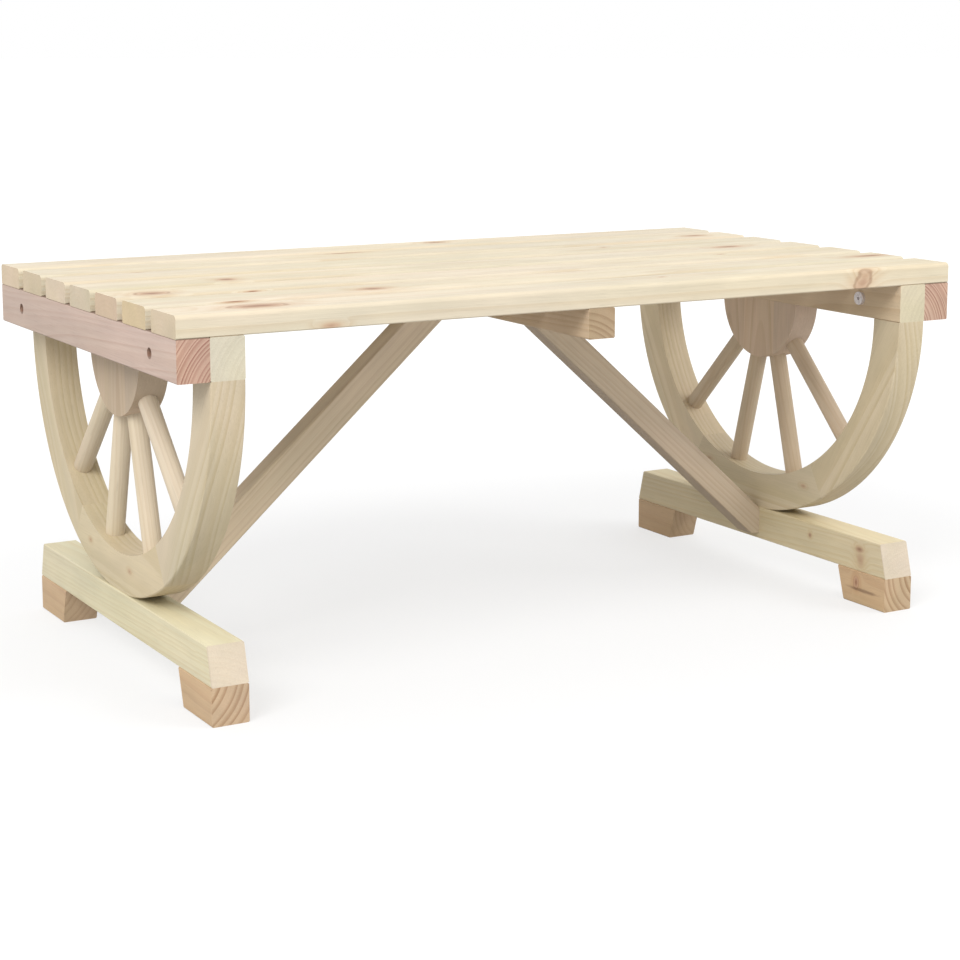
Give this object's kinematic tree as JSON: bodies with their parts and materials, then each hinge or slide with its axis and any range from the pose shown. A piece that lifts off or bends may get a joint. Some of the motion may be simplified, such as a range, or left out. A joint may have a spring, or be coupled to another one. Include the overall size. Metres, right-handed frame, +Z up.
{
  "type": "garden table",
  "caption": "Low slatted garden table carried at each end by a half wagon wheel with spokes, on a footed beam, with diagonal braces up to the middle of the top.",
  "frame": {"origin": "on the floor, under the middle of the top", "axes": "+X along the table, +Y across it towards the back, +Z up"},
  "size_m": [1, 0.558, 0.43],
  "materials": {
    "top_boards": "planed pine, untreated",
    "end_rails": "planed pine, reddish",
    "middle_rail": "planed pine, untreated",
    "wheel_bars": "planed pine, pale",
    "rims": "sawn and sanded pine",
    "hubs": "glued and sanded pine",
    "spokes": "turned and sanded",
    "beams": "planed pine, untreated",
    "feet": "planed pine, untreated",
    "braces": "planed pine, untreated",
    "tongues": "planed wood, glued in",
    "zinc": "zinc plated steel"
  },
  "bodies": {
    "root": {"bar_bolts": "zinc", "bar_nuts": "zinc", "bar_tongues": "tongues", "felloe_tongues": "tongues", "left_back_foot": "feet", "left_beam": "beams", "left_brace": "braces", "left_end_rail": "end_rails", "left_felloe_1": "rims", "left_felloe_2": "rims", "left_felloe_3": "rims", "left_front_foot": "feet", "left_hub_back_stave": "hubs", "left_hub_front_stave": "hubs", "left_hub_middle_stave": "hubs", "left_spoke_1": "spokes", "left_spoke_2": "spokes", "left_spoke_3": "spokes", "left_spoke_4": "spokes", "left_wheel_bar": "wheel_bars", "middle_rail": "middle_rail", "right_back_foot": "feet", "right_beam": "beams", "right_brace": "braces", "right_end_rail": "end_rails", "right_felloe_1": "rims", "right_felloe_2": "rims", "right_felloe_3": "rims", "right_front_foot": "feet", "right_hub_back_stave": "hubs", "right_hub_front_stave": "hubs", "right_hub_middle_stave": "hubs", "right_spoke_1": "spokes", "right_spoke_2": "spokes", "right_spoke_3": "spokes", "right_spoke_4": "spokes", "right_wheel_bar": "wheel_bars", "slat_1": "top_boards", "slat_2": "top_boards", "slat_3": "top_boards", "slat_4": "top_boards", "slat_5": "top_boards", "slat_6": "top_boards", "slat_7": "top_boards"}
  },
  "joints": []
}
